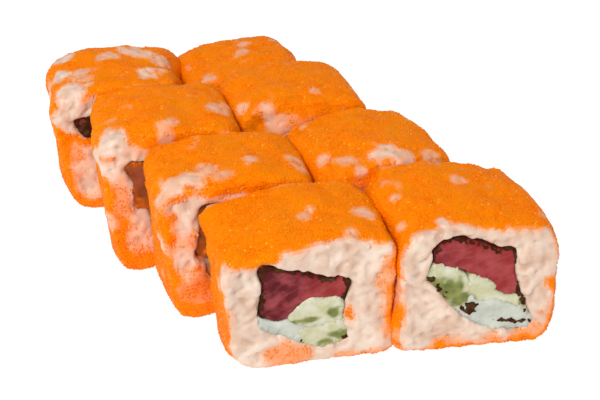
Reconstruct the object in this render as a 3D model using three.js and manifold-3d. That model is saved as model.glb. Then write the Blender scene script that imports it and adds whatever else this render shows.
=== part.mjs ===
// Uramaki roll: an inside-out sushi roll, cut into eight slices that stand on their sides in two
// touching rows of four. Each slice is a thick wall of rice coated with fine roe, wrapped round a
// band of nori that holds a slab of tuna, two sticks of cucumber and soft cheese.
// Millimetres. +X runs across the rows, +Y along them from the front cut faces to the back, +Z up.
// The origin is the middle of the base.
import * as THREE from 'three';
import { mergeVertices } from 'three/addons/utils/BufferGeometryUtils.js';
import Module from 'manifold-3d';

const wasm = await Module();
wasm.setup();

// Where each slice stands (middle of its base), its turn about Z in degrees, and its size.
// lean is how far its left wall draws in towards the base, droop how far its top falls from left
// to right, and slant how much further forward its front cut is at the top than at the base. foot
// is how far the corners of its base have sagged forwards: the left ones at the front and the back
// cut, then the right ones.
// filling names what it is filled with, and spin turns that filling, in degrees.
const SLICES = [
  { name: 'left_1', x: -0.4, y: 1.2, turn: -3.5, width: 39.6, thickness: 25, height: 33.6,
    lean: 0.8, droop: -1, slant: 2.6, foot: [0.6, 3.6, 4.6, 1], filling: 'slab', spin: 0 },
  { name: 'left_2', x: -9.2, y: 27.1, turn: -2.5, width: 38.4, thickness: 24.8, height: 36.4,
    lean: 0.4, droop: 0.6, slant: -0.6, foot: [4.4, 4.6, 0, 0], filling: 'slab', spin: -6 },
  { name: 'left_3', x: -18.8, y: 55.2, turn: -3.5, width: 36.6, thickness: 29, height: 38.6,
    lean: 0.2, droop: 0.4, slant: -1, foot: [6.2, 2, 0, 0], filling: 'slab', spin: 5 },
  { name: 'left_4', x: -26.8, y: 86.2, turn: -5, width: 37, thickness: 29, height: 38.4,
    lean: 1.6, droop: -0.6, slant: 0.8, foot: [2.6, 0, 0, 0], filling: 'slab', spin: 8 },
  { name: 'right_1', x: 38.9, y: -4, turn: -7, width: 37.2, thickness: 29.8, height: 33.8,
    lean: -1, droop: 2.2, slant: 0.6, foot: [0.5, 0, 4.2, 0], filling: 'leaning', spin: 0 },
  { name: 'right_2', x: 29.7, y: 28.9, turn: 2.5, width: 35.4, thickness: 28.6, height: 34.4,
    lean: 2, droop: 0.8, slant: 0.5, foot: [0, 0, 0, 0], filling: 'slab', spin: 176 },
  { name: 'right_3', x: 18.9, y: 60.2, turn: -1, width: 36, thickness: 28.8, height: 37.8,
    lean: 2, droop: 0.6, slant: -0.8, foot: [0, 0, 0, 0], filling: 'leaning', spin: 9 },
  { name: 'right_4', x: 12.3, y: 89.4, turn: 0.5, width: 35.6, thickness: 27.4, height: 35,
    lean: 2, droop: -1.2, slant: 0.7, foot: [0, 0, 0, 0], filling: 'leaning', spin: 172 },
];

// A slice's section
const TOP_CORNER = 6; // how far a top corner's round reaches along each side
const BASE_CORNER_LEFT = 7; // the same at the base
const BASE_CORNER_RIGHT = 5.5;
const CROWN = 1.4; // rise of the top above its corners
const RIGHT_LEAN_SHARE = 0.35; // the right wall draws in by this share of lean
const CUT_EDGE = 0.8; // how far the coat rounds in at each cut face
const CURVE_STEPS = 10; // points along each rounded corner
const BASE_BAND = 0.2; // the coat is left smooth this far up from the base, so that it stands flat

// Relief of packed rice grains under the roe, as smooth bumps about a grain apart
const GRAIN_PITCH = 4.6;
const COAT_RELIEF = 0.8; // deepest dent in the coated wall
const CUT_RELIEF = 1.1; // deepest dent in a cut face

// The filling: nori round it, and how far each part's ends lie behind the cut faces
const NORI = 0.5;
const FIT = 0.3; // gap between two parts that touch
const BEHIND_CUT = { nori: 0.9, tuna: 1.1, cucumber_1: 0.9, cucumber_2: 1.0, cheese: 1.3 };

// Outlines of the fillings in a section, from the middle of the slice; each is a smooth closed
// curve through its points. The cheese fills what the nori and the others leave free.
const FILLINGS = {
  slab: {
    bed: [[-11.4, 12.3], [-5.8, 10.9], [-0.9, 8.7], [4.1, 6.4], [10.2, 5.6], [7.9, 0.7],
      [7.3, -3.9], [9.3, -10.6], [3.6, -12.4], [-0.1, -11.4], [-5, -8.2], [-11.2, -4.7], [-12, 0],
      [-10.5, 5.3]],
    tuna: [[-11, 11.8], [-5.8, 10], [-0.9, 8], [4.1, 5.8], [9.4, 5.2], [7.4, 0.7], [4.1, 0.7],
      [0.5, 1.3], [-2.1, -0.2], [-4.9, -3.3], [-7.2, -3.4], [-11.2, -1], [-10.2, 5]],
    cucumber_1: [[-4.3, -2.7], [-2.1, -0.4], [0.5, 1.1], [5.9, 0.4], [7.4, -4.4], [1.4, -5.4],
      [-2.2, -4.5]],
    cucumber_2: [[-2.2, -6.5], [1.1, -5.8], [7.4, -4.9], [8.8, -10.4], [3.3, -12], [0.5, -11.2],
      [-1.3, -9.6]],
    cheese: [[-13, -1], [-7, -4], [-4.6, -3], [0, -5.8], [8, -5], [10, -4], [11, -12], [4, -14],
      [-6, -10], [-13, -6]],
  },
  leaning: {
    bed: [[-12.6, 4.3], [-11.1, 7.8], [-11.4, 10.6], [-10.4, 12.8], [-7.7, 13.9], [-4.8, 13.4],
      [2.6, 10.1], [4.7, 9.2], [6.6, 9.8], [8.9, 8.9], [7.8, 5.2], [8.8, 1.6], [11.5, -6.8],
      [13.4, -12], [3.2, -12], [-2.4, -8.4], [-5.9, -5.3], [-8.2, -0.9]],
    tuna: [[-11.2, 10.6], [-10.2, 12.4], [-7.7, 13.4], [-0.3, 10.7], [3.9, 8.9], [8.6, 8.6],
      [7.5, 5.3], [8.3, 2.2], [10, -2.2], [7.9, -3.3], [3.9, -1.2], [1.2, 1.7], [-4.2, 5.2],
      [-10.8, 7.8]],
    cucumber_1: [[-12.6, 4.2], [-10.5, 6.8], [-6.6, 6], [-2.9, 2.8], [-2.1, -2.8], [-5.2, -5],
      [-8, -1.1]],
    cucumber_2: [[-1.7, 2.9], [1.9, 0.9], [3.9, -1.5], [8, -3.8], [11, -3.1], [12.4, -8.2],
      [7.9, -5.6], [2.3, -3.2], [-1.6, -2.2]],
    cheese: [[-3, -1.8], [2.3, -2.7], [7.9, -5.1], [12, -5], [16, -12], [12, -15], [3, -14],
      [-6, -8], [-5, -4]],
  },
};

// Steps along each curve. The rice has two steps round for each of its bed's.
const ALONG = 4;
const ACROSS_CUT = 4;
const OUTLINE_STEPS = { bed: 24, tuna: 18, cucumber_1: 12, cucumber_2: 12, cheese: 14 };

const COLOURS = {
  rice: [0xf08a1e, 0.5],
  nori: [0x2b1a14, 0.6],
  tuna: [0x8a3b42, 0.35],
  cucumber_1: [0xc4d39a, 0.3],
  cucumber_2: [0xc4d39a, 0.3],
  cheese: [0xe6ebe4, 0.55],
};

const materials = Object.fromEntries(
  Object.entries(COLOURS).map(([part, [color, roughness]]) => [
    part, new THREE.MeshStandardMaterial({ color, roughness, metalness: 0 }),
  ]),
);

// A fixed random number from 0 to 1 for a cell of a grid
function chance(i, j, k, seed) {
  const wave = Math.sin(i * 127.1 + j * 311.7 + k * 74.7 + seed * 53.3) * 43758.5453;
  return wave - Math.floor(wave);
}

// Smooth random bumps from 0 to 1, one to each cell of the grain grid
function bump(point, seed) {
  const cell = point.clone().divideScalar(GRAIN_PITCH);
  const low = cell.clone().floor();
  const part = cell.clone().sub(low);
  const ease = (t) => t * t * (3 - 2 * t);
  let sum = 0;
  for (let corner = 0; corner < 8; corner++) {
    const [a, b, c] = [corner & 1, (corner >> 1) & 1, (corner >> 2) & 1];
    const share = (a ? ease(part.x) : 1 - ease(part.x))
      * (b ? ease(part.y) : 1 - ease(part.y))
      * (c ? ease(part.z) : 1 - ease(part.z));
    sum += share * chance(low.x + a, low.y + b, low.z + c, seed);
  }
  return sum;
}

// Section of a slice, x across and y up from its middle: a block with round corners
function sectionOutline({ width, height, lean, droop }) {
  const half = height / 2;
  const left = -width / 2;
  const right = width / 2;
  const baseLeft = left + lean;
  const baseRight = right - lean * RIGHT_LEAN_SHARE;
  const topLeft = half - CROWN + droop / 2;
  const topRight = half - CROWN - droop / 2;
  const shape = new THREE.Shape();
  shape.moveTo(baseLeft + BASE_CORNER_LEFT, -half);
  shape.lineTo(baseRight - BASE_CORNER_RIGHT, -half);
  shape.quadraticCurveTo(baseRight, -half, baseRight, -half + BASE_CORNER_RIGHT);
  shape.lineTo(right, topRight - TOP_CORNER);
  shape.quadraticCurveTo(right, topRight, right - TOP_CORNER, topRight);
  shape.quadraticCurveTo(0, half + CROWN, left + TOP_CORNER, topLeft);
  shape.quadraticCurveTo(left, topLeft, left, topLeft - TOP_CORNER);
  shape.lineTo(baseLeft, -half + BASE_CORNER_LEFT);
  shape.quadraticCurveTo(baseLeft, -half, baseLeft + BASE_CORNER_LEFT, -half);
  return shape.getPoints(CURVE_STEPS);
}

const UP_PAGE = new THREE.Vector3(0, 0, 1);

// A smooth closed outline through a filling's points, turned by spin
function fillingOutline(points, steps, spin) {
  const turn = THREE.MathUtils.degToRad(spin);
  const curve = new THREE.CatmullRomCurve3(
    points.map(([x, y]) => new THREE.Vector3(x, y, 0).applyAxisAngle(UP_PAGE, turn)),
    true, 'centripetal',
  );
  return curve.getSpacedPoints(steps).slice(0, steps).map((p) => new THREE.Vector2(p.x, p.y));
}

// The outline moved outwards by distance, or inwards where that is negative
function offset(outline, distance) {
  const sign = THREE.ShapeUtils.area(outline) > 0 ? 1 : -1;
  return outline.map((p, i) => {
    const before = outline[(i + outline.length - 1) % outline.length];
    const after = outline[(i + 1) % outline.length];
    const along = after.clone().sub(before).normalize();
    return new THREE.Vector2(p.x + along.y * distance * sign, p.y - along.x * distance * sign);
  });
}

const PARALLEL = 1e-9; // a ray and an edge that cross less than this never meet

// How far the outline lies from the middle at an angle
function reach(outline, angle) {
  const ray = new THREE.Vector2(Math.cos(angle), Math.sin(angle));
  let far = 0;
  outline.forEach((p, i) => {
    const edge = outline[(i + 1) % outline.length].clone().sub(p);
    const cross = ray.cross(edge);
    if (Math.abs(cross) < PARALLEL) return;
    const distance = p.cross(edge) / cross;
    const share = p.cross(ray) / cross;
    if (share >= 0 && share <= 1 && distance > far) far = distance;
  });
  return far;
}

// A straight bar with the outline as its section, between two places along Y
function bar(outline, front, back) {
  const geometry = new THREE.ExtrudeGeometry(new THREE.Shape(outline), {
    depth: back - front, bevelEnabled: false,
  });
  return geometry.rotateX(Math.PI / 2).translate(0, back, 0);
}

function toSolid(geometry) {
  geometry.deleteAttribute('normal');
  geometry.deleteAttribute('uv');
  const merged = mergeVertices(geometry);
  return new wasm.Manifold(new wasm.Mesh({
    numProp: 3,
    vertProperties: new Float32Array(merged.attributes.position.array),
    triVerts: new Uint32Array(merged.index.array),
  }));
}

function toGeometry(solid) {
  const mesh = solid.getMesh();
  const geometry = new THREE.BufferGeometry();
  geometry.setAttribute('position', new THREE.BufferAttribute(new Float32Array(mesh.vertProperties), 3));
  geometry.setIndex(new THREE.BufferAttribute(new Uint32Array(mesh.triVerts), 1));
  return geometry;
}

// The largest body of a solid that a cut has left in pieces
function largest(solid) {
  return solid.decompose().reduce((a, b) => (a.volume() > b.volume() ? a : b));
}

// The coated rice: a ring round the filling's hole, closed by both cut faces, with bumps all over
// and a flat base. Its surface is one grid, round the slice and round the ring's own section.
function riceGeometry(slice, hole, seed) {
  const outline = sectionOutline(slice);
  const half = slice.thickness / 2;
  const base = -slice.height / 2;
  const wall = hole.flatMap((p, i) => [p, p.clone().lerp(hole[(i + 1) % hole.length], 0.5)]);
  const rows = [];
  for (let step = 0; step <= ALONG; step++) {
    rows.push({ inward: 0, y: -half + (slice.thickness * step) / ALONG, side: 0 });
  }
  for (const side of [1, -1]) {
    for (let step = 1; step <= ACROSS_CUT; step++) {
      const inward = side > 0 ? step / ACROSS_CUT : 1 - (step - 1) / ACROSS_CUT;
      rows.push({ inward, y: side * half, side });
    }
  }
  const positions = [];
  for (const inner of wall) {
    const angle = inner.angle();
    const outer = reach(outline, angle);
    const onFlatBase = outer * Math.sin(angle) < base + BASE_BAND;
    for (const { inward, y, side } of rows) {
      const atCut = Math.abs(y) === half;
      let radius = outer + (inner.length() - outer) * inward;
      const dent = 1 - bump(new THREE.Vector3(radius * Math.cos(angle), y, radius * Math.sin(angle)), seed);
      if (inward === 0 && !onFlatBase) radius -= COAT_RELIEF * dent;
      if (inward === 0 && atCut) radius -= CUT_EDGE;
      const back = inward > 0 && inward < 1 ? side * CUT_RELIEF * dent : 0;
      positions.push(radius * Math.cos(angle), y - back, Math.max(radius * Math.sin(angle), base));
    }
  }
  const index = [];
  wall.forEach((_, i) => {
    const here = i * rows.length;
    const beside = ((i + 1) % wall.length) * rows.length;
    rows.forEach((_row, j) => {
      const next = (j + 1) % rows.length;
      index.push(here + j, beside + next, here + next, here + j, beside + j, beside + next);
    });
  });
  const geometry = new THREE.BufferGeometry();
  geometry.setAttribute('position', new THREE.Float32BufferAttribute(positions, 3));
  geometry.setIndex(index);
  return geometry;
}

// The parts inside the nori, each cut clear of the nori and of those before it
function fillingSolids(slice, outlines, bedInside) {
  const half = slice.thickness / 2;
  const longBar = (outline) => toSolid(bar(outline, -half, half));
  const inside = longBar(bedInside);
  const solids = {};
  const taken = [];
  for (const part of ['tuna', 'cucumber_1', 'cucumber_2', 'cheese']) {
    const end = half - BEHIND_CUT[part];
    let solid = toSolid(bar(outlines[part], -end, end)).intersect(inside);
    for (const other of taken) solid = solid.subtract(other);
    solids[part] = largest(solid);
    taken.push(longBar(offset(outlines[part], FIT)));
  }
  return solids;
}

// Moves the cuts of anything in the slice forwards, by its slant and by its foot
function moveCuts(geometry, { width, height, thickness, slant, foot }) {
  const position = geometry.attributes.position;
  for (let i = 0; i < position.count; i++) {
    const front = 0.5 - position.getY(i) / thickness;
    const low = 0.5 - position.getZ(i) / height;
    const left = 0.5 - position.getX(i) / width;
    const sagLeft = foot[0] * front + foot[1] * (1 - front);
    const sagRight = foot[2] * front + foot[3] * (1 - front);
    const sag = low * (sagLeft * left + sagRight * (1 - left));
    position.setY(i, position.getY(i) - slant * front * (0.5 - low) - sag);
  }
}

function buildSlice(slice, seed) {
  const outlines = Object.fromEntries(
    Object.entries(FILLINGS[slice.filling]).map(([part, points]) => [
      part, fillingOutline(points, OUTLINE_STEPS[part], slice.spin),
    ]),
  );
  const noriInside = offset(outlines.bed, -NORI);
  const noriEnd = slice.thickness / 2 - BEHIND_CUT.nori;
  const nori = toSolid(bar(outlines.bed, -noriEnd, noriEnd))
    .subtract(toSolid(bar(noriInside, -slice.thickness, slice.thickness)));
  const geometries = {
    rice: riceGeometry(slice, offset(outlines.bed, FIT), seed),
    nori: toGeometry(nori),
  };
  for (const [part, solid] of Object.entries(fillingSolids(slice, outlines, offset(noriInside, -FIT)))) {
    geometries[part] = toGeometry(solid);
  }
  const group = new THREE.Group();
  for (const [part, geometry] of Object.entries(geometries)) {
    moveCuts(geometry, slice);
    const mesh = new THREE.Mesh(geometry, materials[part]);
    mesh.name = `${slice.name}_${part}`;
    group.add(mesh);
  }
  group.position.set(slice.x, slice.y, slice.height / 2);
  group.rotation.z = THREE.MathUtils.degToRad(slice.turn);
  return group;
}

const roll = new THREE.Group();
SLICES.forEach((slice, i) => roll.add(buildSlice(slice, i + 1)));
const extent = new THREE.Box3().setFromObject(roll, true);
const middle = extent.getCenter(new THREE.Vector3());
roll.position.set(-middle.x, -middle.y, -extent.min.z);
roll.updateMatrixWorld(true);

export default roll;
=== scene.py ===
import math

import bpy
import numpy as np
from mathutils import Matrix, Vector
from mathutils.bvhtree import BVHTree
from mathutils.kdtree import KDTree


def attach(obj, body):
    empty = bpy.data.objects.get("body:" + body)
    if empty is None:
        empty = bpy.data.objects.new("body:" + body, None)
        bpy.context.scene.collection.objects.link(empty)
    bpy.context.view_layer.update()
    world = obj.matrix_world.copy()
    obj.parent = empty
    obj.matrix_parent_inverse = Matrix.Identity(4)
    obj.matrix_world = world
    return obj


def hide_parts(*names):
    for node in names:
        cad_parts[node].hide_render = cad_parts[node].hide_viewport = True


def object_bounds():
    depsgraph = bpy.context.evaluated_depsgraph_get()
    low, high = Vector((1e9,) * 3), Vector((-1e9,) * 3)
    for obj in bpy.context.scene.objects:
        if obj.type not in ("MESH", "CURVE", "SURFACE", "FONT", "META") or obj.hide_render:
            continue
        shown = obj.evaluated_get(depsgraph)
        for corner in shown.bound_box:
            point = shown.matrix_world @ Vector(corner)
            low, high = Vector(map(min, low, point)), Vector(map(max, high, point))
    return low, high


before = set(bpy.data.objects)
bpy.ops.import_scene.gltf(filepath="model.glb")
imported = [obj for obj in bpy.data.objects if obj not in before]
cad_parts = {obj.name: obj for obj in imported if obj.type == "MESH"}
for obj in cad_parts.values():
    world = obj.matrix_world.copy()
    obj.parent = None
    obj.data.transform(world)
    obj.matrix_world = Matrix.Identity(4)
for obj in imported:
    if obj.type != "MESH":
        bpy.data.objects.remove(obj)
CAD_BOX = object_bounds()
FLOOR = CAD_BOX[0][2]

# An inside-out sushi roll in eight slices: rice with a coat of orange roe round nori, tuna,
# cucumber and cream cheese. The frame is in metres. Lengths here are in millimetres times MM, and
# the tables of places give plain millimetres.
MM = 0.001
CUT_FACING = 0.6  # a face belongs to a cut where its normal lies this much along the slice

# Rice
GUIDE_VOXEL = 1.0 * MM
RICE_VOXEL = 0.44 * MM
SPREAD = 0.42 * MM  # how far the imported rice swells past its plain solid
MEET_WITHIN = 3 * MM  # slices that lie closer than this swell until they touch
GRAIN_LENGTH = 5.4 * MM
GRAIN_WIDTH = 2.3 * MM
GRAIN_SPACING = 1.9 * MM
GRAIN_SINK = 0.88 * MM  # how deep a grain's middle lies under the slice's surface
GRAIN_TILT = math.radians(14)
GRAIN_TAPER = 0.25  # how much slimmer a grain is at one end
GRAIN_FLAT = 0.86  # its thickness as a share of its width
GRAIN_BEND = 0.6
CORE_SINK = 0.55 * MM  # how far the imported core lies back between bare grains
BED_SINK = 0.02 * MM  # the same where roe fills the gaps
GRAIN_PROUD = 0.08 * MM  # how far a grain may stand out of the surface under the roe
BARE_PROUD = 0.22 * MM  # how much further where the rice is bare

# Roe
EGG_WIDTH = 0.8 * MM
EGG_SPACING = 0.575 * MM
EGG_LIFT = -0.12 * MM  # how far an egg's middle lies above the slice's surface
CLEAR_OF_FLOOR = 0.5 * MM
PLACE_TRIES = 5  # how many places are tried for each one that a scattered thing gets

# Fillings
FILLING_VOXEL = 0.3 * MM
SHOWN_DEPTH = 1.6 * MM  # deeper behind a cut than this, a filling and the hollow are hidden
HIDDEN_SHARE = 0.06  # the share of faces that is kept there
CLOSE_UP = 0.2 * MM  # how far each filling's side moves towards the next filling
TUNA_SWELL = 0.4 * MM  # how far further a side moves towards the rice
SOFT_SWELL = 1.0 * MM
END_SWELL = 0.4 * MM  # how far the ends move out with the rice
SKIN_DEPTH = 0.9 * MM
RIDGE_PITCH = 0.9 * MM  # of the fibres in the fish
RIDGE_HEIGHT = 0.03 * MM
NORI_BACK = 3 * MM  # how far the nori lies back from the cuts where the fish doesn't hold it
FOLD_VOXEL = 0.26 * MM
BEAD_RADIUS = 0.33 * MM
BEAD_SPACING = 0.34 * MM

# Unevenness in layers, each given as the distance between its lumps, the level of the noise that
# counts as zero, its height, and a number that sets its random draw apart from the others
RICE_LUMPS = ((6, 0.62, 1.3, 30), (2.6, 0.5, 0.5, 31))
COAT_EDGE = ((5, 0.5, 3.4, 0), (1.9, 0.5, 1.8, 20))
SPOT_EDGE = ((2.1, 0.5, 1.1, 40),)
TUNA_LUMPS = ((2.6, 0.5, 0.4, 7),)
TUNA_SHADES = ((3.4, 0.5, 6, 8),)
CUCUMBER_LUMPS = ((1.8, 0.5, 0.3, 9),)
SKIN_EDGE = ((1.3, 0.5, 0.8, 11),)
CHEESE_LUMPS = ((2.4, 0.2, 0.7, 3), (0.9, 0.5, 0.2, 4))
SMEAR_GRAIN = ((0.9, 0.5, 0.4, 15),)
FOLD_EDGE = ((0.9, 0.5, 0.7, 13),)
NORI_EDGE = ((1.3, 0.55, 1.4, 5),)

# Which filling each slice has, and its turn in the section in degrees
FILLING = {
    "left_1": ("slab", 0), "left_2": ("slab", -6), "left_3": ("slab", 5), "left_4": ("slab", 8),
    "right_1": ("leaning", 0), "right_2": ("slab", 176), "right_3": ("leaning", 9),
    "right_4": ("leaning", 172),
}

# How far the roe reaches over the front cut's edges: at the left and the right end of the top, and
# at the left wall, the right wall and the base. Below zero the rice shows over the edge.
WRAP = {"left_1": (2.6, -1.4, 0.5, 1.8, -0.6), "right_1": (-1.6, -0.4, 0.4, 1.5, 1.2)}
COVERED_WRAP = (3.4, 3.4, 2.6, 2.0, 4.0)  # of a slice whose front cut another slice covers
BACK_WRAP = (0.6, 0.6, 0.6, 0.6, 0.6)
COVERED_SMEAR = {"left": 0.54, "right": 1.3}  # roe on the rice of covered front cuts, by row

# How much roe is smeared over the fillings' front ends in the slices that others cover
FILLING_SMEAR = {
    "left_2": 0.85, "left_3": 0.7, "left_4": 0.0, "right_2": 0.8, "right_3": 0.8, "right_4": 0.8,
}

# Thin patches in the coat by slice, grouped by how bare they are: each a middle, measured across,
# along and up from the middle of the slice, and a radius
THIN = {
    "left_1": {
        0.62: [((2, 0, 17), 1.9), ((3.8, 1.6, 17), 1.3), ((15.4, -2, 15), 2.8), ((10, -9, 16), 1.8),
               ((18, -6, 8), 2.0), ((18, -10, -1.5), 1.6)],
        0.95: [((-18.4, -9.4, 11), 3.0), ((-19.2, -6, 7.8), 1.8), ((-17.2, -10.6, -9), 2.4),
               ((-14.4, -10, -12.8), 3.2), ((-11.4, -10, -14.4), 2.0)],
    },
    "left_2": {
        0.56: [((-6, -3, 18), 3.2), ((-2, -6, 18), 2.8), ((5.5, -1.5, 17.5), 2.8),
              ((17, 1, 15), 2.6), ((17.4, -3.4, 14.6), 2.2), ((-17, -8, -7), 1.8)],
        0.72: [((-14, -7, 17), 3.8), ((-10, -6, 17), 3.2), ((-16, -9, 13), 3.4),
              ((-18, -10.5, 4), 2.8), ((-13, -12, 12), 3.4)],
    },
    "left_3": {
        0.56: [((-0.5, -11, 17), 2.0), ((0.5, -8, 18.5), 2.8), ((14.4, 0, 17), 3.2),
              ((17, 4, 14), 2.4), ((-16, -14, -4), 2.8)],
        1.0: [((-14, -9, 16.5), 4.2), ((-17.5, -8, 12), 2.6), ((-15, -12, 10), 3.0),
              ((-11, -15, 13), 3.0)],
    },
    "left_4": {
        0.5: [((-8, -6, 18), 5.0), ((-6, -14, -4), 5.0)],
        0.7: [((-16, 2, 13), 3.4), ((-0.5, 5.5, 19), 3.2), ((8.6, 8.5, 18.5), 5.0),
              ((10, -7, 18.5), 4.4), ((14.5, 3, 17), 3.6), ((-8, -2, 18.5), 2.4), ((3, 11, 18), 2.8),
              ((-11, -14, -10), 3.0)],
        0.95: [((-11, -12, 17), 5.0), ((-9, -14, 12.5), 3.6), ((-13.5, 10, 17), 3.4),
               ((-14.5, -1, 17), 3.2), ((-14.4, -13.5, 11), 3.2), ((-17, -6, 12.5), 3.6),
               ((-17.5, -11, 6.5), 2.6)],
    },
    "right_1": {
        0.56: [((1, 6.5, 16.5), 2.4), ((-15, 5, 16), 1.6), ((-17, -5, 14.6), 1.4),
              ((15, -8, 13.6), 1.6), ((-14.8, -11, 15.5), 2.0), ((-18.2, -9, 1.6), 3.0),
              ((-18.2, -9, -5), 2.8), ((17, -12, 7.8), 2.0)],
        0.85: [((-9.4, -9, 16.5), 1.8), ((-9.6, -11.5, 15.5), 1.6), ((-16, -13, -12), 2.4)],
    },
    "right_2": {
        0.56: [((-15, -6, 15.5), 2.5), ((-11, -10, 16), 2.7), ((-9, -14, 15), 1.8),
              ((10.4, -14, 14.6), 3.0), ((-13.5, 12, 15.5), 1.8), ((14.4, 6, 13), 2.4)],
        0.75: [((-1, -11.5, 16.5), 4.0), ((2.4, -13.6, 16), 3.0)],
    },
    "right_3": {
        0.56: [((-17, 12, 12), 2.4), ((-16, -8, 16), 2.2), ((-11, -13, 16.5), 3.0),
              ((1.5, -13.5, 13.5), 1.8), ((4.4, -9, 18.2), 1.6), ((15, -6, 14), 2.4)],
    },
    "right_4": {
        0.56: [((2.4, 4, 17.5), 2.8), ((0.4, -2.6, 17.4), 2.8), ((-12, -11, 15), 2.5),
              ((12, 6, 15), 2.2)],
    },
}

# Patches of roe on the front cuts, given in the same way
SPILL_SHARE = 0.6  # how thick the roe is in them
SPILL = {
    "left_1": [((-5.6, -11.8, -11.0), 3.0), ((-8.6, -11.2, -13), 2.6), ((-2.6, -12.2, -13.4), 3.0),
               ((-6.0, -12, -15.2), 3.4), ((6, -12.8, -16), 2.2), ((10, -13, -15.6), 2.8),
               ((14.6, -13.6, -15), 3.0), ((17.8, -12.8, 7.5), 3.0), ((18.2, -12.8, 3), 3.4),
               ((17.6, -13.2, -3), 2.6), ((17.8, -13.6, -9), 2.2)],
    "right_1": [((17.2, -14, -1), 1.9), ((16.4, -15, -7), 2.3), ((-7, -15, -15.6), 2.6),
                ((-2, -15.6, -16), 2.4), ((3, -16, -15), 2.8), ((12, -16.5, -13.6), 3.2)],
}

# Rice pressed over a front cut's opening: a middle and a half size across, along and up
PRESSED_ROUNDNESS = 0.65  # 1 for a ball, towards 0 for a box
PRESSED = {
    "left_2": [((-10.6, -11.6, -2), (2.6, 1.4, 1.1))],
    "left_3": [((-9.6, -12.6, -5.4), (4.2, 1.8, 3.6))],
    "left_4": [((-8.4, -13.2, -1.8), (5.4, 1.8, 5.2))],
    "right_2": [((0, -13.2, 0), (15, 1.9, 14.4))],
    "right_3": [((0, -13.2, 0), (15, 1.9, 15.4))],
    "right_4": [((0, -12.8, 0.5), (17, 2.4, 16.6))],
}

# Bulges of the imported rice, or hollows where the height is below zero: a middle, a radius and a
# height
BULGES = {
    "left_1": [((17, -12, -14), 10, 1.6), ((-19, 12, 2), 12, -1.9)],
    "left_2": [((-18.6, 12, 2), 12, -1.4)],
    "left_3": [((-18, 14, 2), 12, -1.6)],
    "left_4": [((17.5, 12, 9), 11, 2.6), ((17.5, -4, 10), 9, 1.2), ((-17.5, -9, -8), 11, 2.0),
               ((-9, 11, 17), 10, 1.3), ((-8, -14, -16), 8, 1.2)],
    "right_1": [((-18, -12, -12), 10, 1.8), ((17, 13, 15), 10, -1.4)],
}

# Nori that shows along the tuna's edge at the cuts, widened to be partly painted shade of the dark
# gap there: a place and a radius in the filling's section, and how far it comes over the tuna there
NORI_AND_SHADE_BAND = {
    "slab": [((-11, 11.2), 2.4, 1.2), ((-10.4, 7.6), 2.4, 0.5), ((-10.5, 3), 2.6, 0.9),
             ((-11.2, -0.4), 2.0, 0.8), ((-7.6, 10.6), 2.4, 0.7), ((-4, 9.4), 2.4, 0.6),
             ((-1, 8), 2.2, 0.75), ((2, 6.8), 2.2, 0.6), ((5.4, 5.6), 2.2, 0.75),
             ((9, 4.8), 2.2, 1.5), ((8, 2), 2.0, 0.6)],
    "leaning": [((-10.8, 9.2), 2.0, 0.5), ((-9.6, 11.6), 2.6, 0.6), ((-6.4, 13.2), 2.6, 0.7),
                ((-2.4, 12), 2.8, 0.55), ((1.6, 10.2), 2.6, 0.55), ((5, 9.2), 2.4, 0.6),
                ((8.2, 8.6), 2.2, 1.5), ((8, 5), 2.2, 0.6), ((8.6, 1.8), 2.2, 0.5),
                ((9.6, -1.6), 2.0, 0.8)],
}

# Dark creases of nori on the fillings' ends: a middle and a half size across and up
CREASES = {
    "left_4": [((-8.4, 6.6), (3.6, 4.4))],
    "slab": [((7.9, -10.2), (0.9, 0.8)), ((-2.4, -9.5), (0.8, 0.25))],
    "leaning": [((-11.8, 4.2), (1.0, 0.7)), ((-10.2, 1.6), (0.5, 1.2)), ((-8.6, -1.2), (0.4, 1.2)),
                ((-2.2, -4.6), (1.5, 1.0)), ((-4.4, -5.2), (1.2, 0.5)), ((-2.4, -6.4), (1.3, 0.7)),
                ((9.4, -2.8), (1.1, 0.9)), ((9.9, -5), (0.9, 1.4)), ((10.9, -7.6), (0.8, 0.4)),
                ((6, -10), (2.0, 0.45)), ((9.4, -10.5), (2.0, 0.45)), ((12.2, -10.6), (0.8, 0.7))],
}

# Green skin and seeds that show in the cucumber's cut, given as the creases are
SKIN = {
    "slab": [((-1.6, -4.0), (3.2, 0.9)), ((5.2, -2.6), (1.4, 1.8)), ((3.0, -11), (2.8, 1.1)),
             ((6.4, -9.6), (2.4, 1.4))],
    "leaning": [((-10.4, 2.2), (2.2, 2.2)), ((-7.8, 0.6), (3.8, 3.2)), ((-4.8, -2.4), (3.0, 2.2)),
                ((10.6, -4.6), (1.6, 2.4))],
}

# Where the fish is darkest across its section, and how far it takes to turn bright
DARK_SIDE = {"slab": -10, "leaning": -17}
SHADE_WIDTH = 14

# Camera and light
CAMERA_TARGET = Vector((5.55, -6.9, 15)) * MM
CAMERA_AZIMUTH = math.radians(-18.9)
CAMERA_ELEVATION = math.radians(32.3)
CAMERA_ROLL = math.radians(-0.8)
CAMERA_DISTANCE = 239 * MM
CAMERA_LENS = 53.95
KEY_PLACE = (-0.34, -0.36, 0.5)
KEY_SIZE = 0.2
KEY_POWER = 3.2
ROOM_LIGHT = 0.6
FLOOR_SIZE = 6
FLOOR_GREY = 0.2
FLOOR_GLOW = 0.9

# Sockets that Blender gives the same name as others of their node
RANDOM_LOW, RANDOM_HIGH, RANDOM_VALUE = 2, 3, 1
MIX_FIRST, MIX_SECOND, MIX_RESULT = 6, 7, 2


def coordinates(mesh):
    values = np.empty(len(mesh.vertices) * 3, np.float32)
    mesh.vertices.foreach_get("co", values)
    return values.reshape(-1, 3).astype(float)


def vertex_normals(mesh):
    values = np.empty(len(mesh.vertices) * 3, np.float32)
    mesh.vertex_normals.foreach_get("vector", values)
    return values.reshape(-1, 3).astype(float)


def set_coordinates(mesh, values):
    mesh.vertices.foreach_set("co", values.astype(np.float32).ravel())
    mesh.update()


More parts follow.
